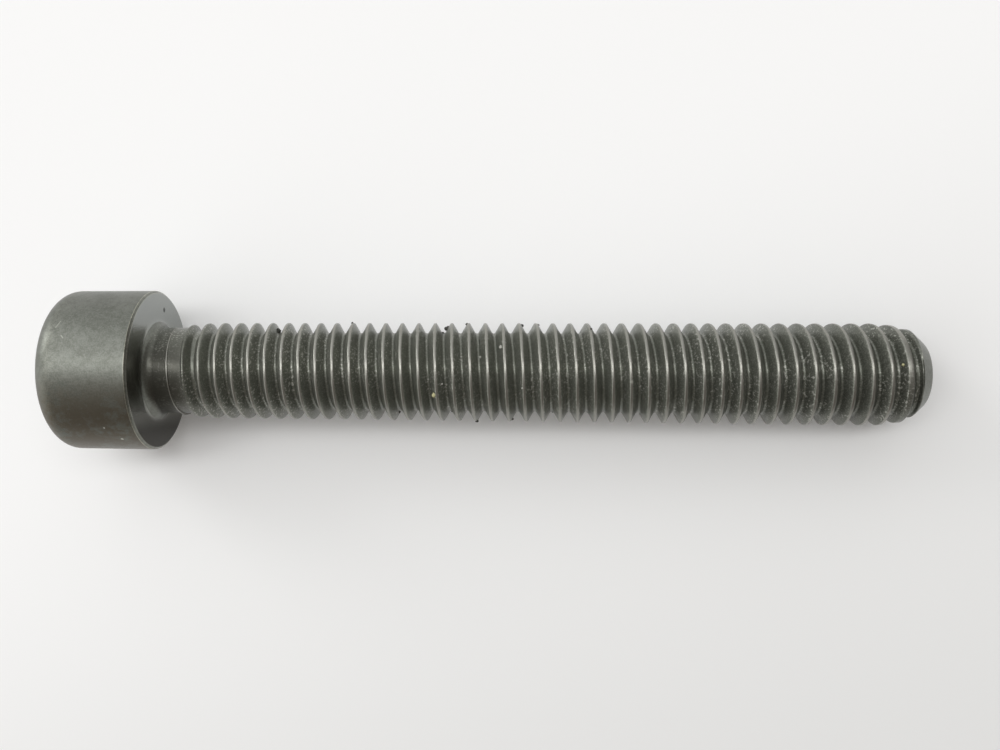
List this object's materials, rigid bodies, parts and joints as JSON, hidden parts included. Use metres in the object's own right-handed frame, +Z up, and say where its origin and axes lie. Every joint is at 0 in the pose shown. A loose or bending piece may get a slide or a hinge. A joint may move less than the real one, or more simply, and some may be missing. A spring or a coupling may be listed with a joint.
{
  "type": "star drive bolt",
  "caption": "Steel bolt with a cylindrical head, a six-lobe star socket in its end and a full-length right-hand thread, lying on its side.",
  "frame": {"origin": "on the surface that the bolt lies on, under the middle of its bounding box", "axes": "+Z up; +X along the bolt seen from above, from its head to its tip; the axis dips 2.70 degrees towards the tip, because the head is thicker than the thread"},
  "size_m": [0.051, 0.0098, 0.0101],
  "materials": {
    "steel": "black oxide on alloy steel, satin, worn bright on the crests"
  },
  "bodies": {
    "root": {"bolt": "steel"}
  },
  "joints": []
}
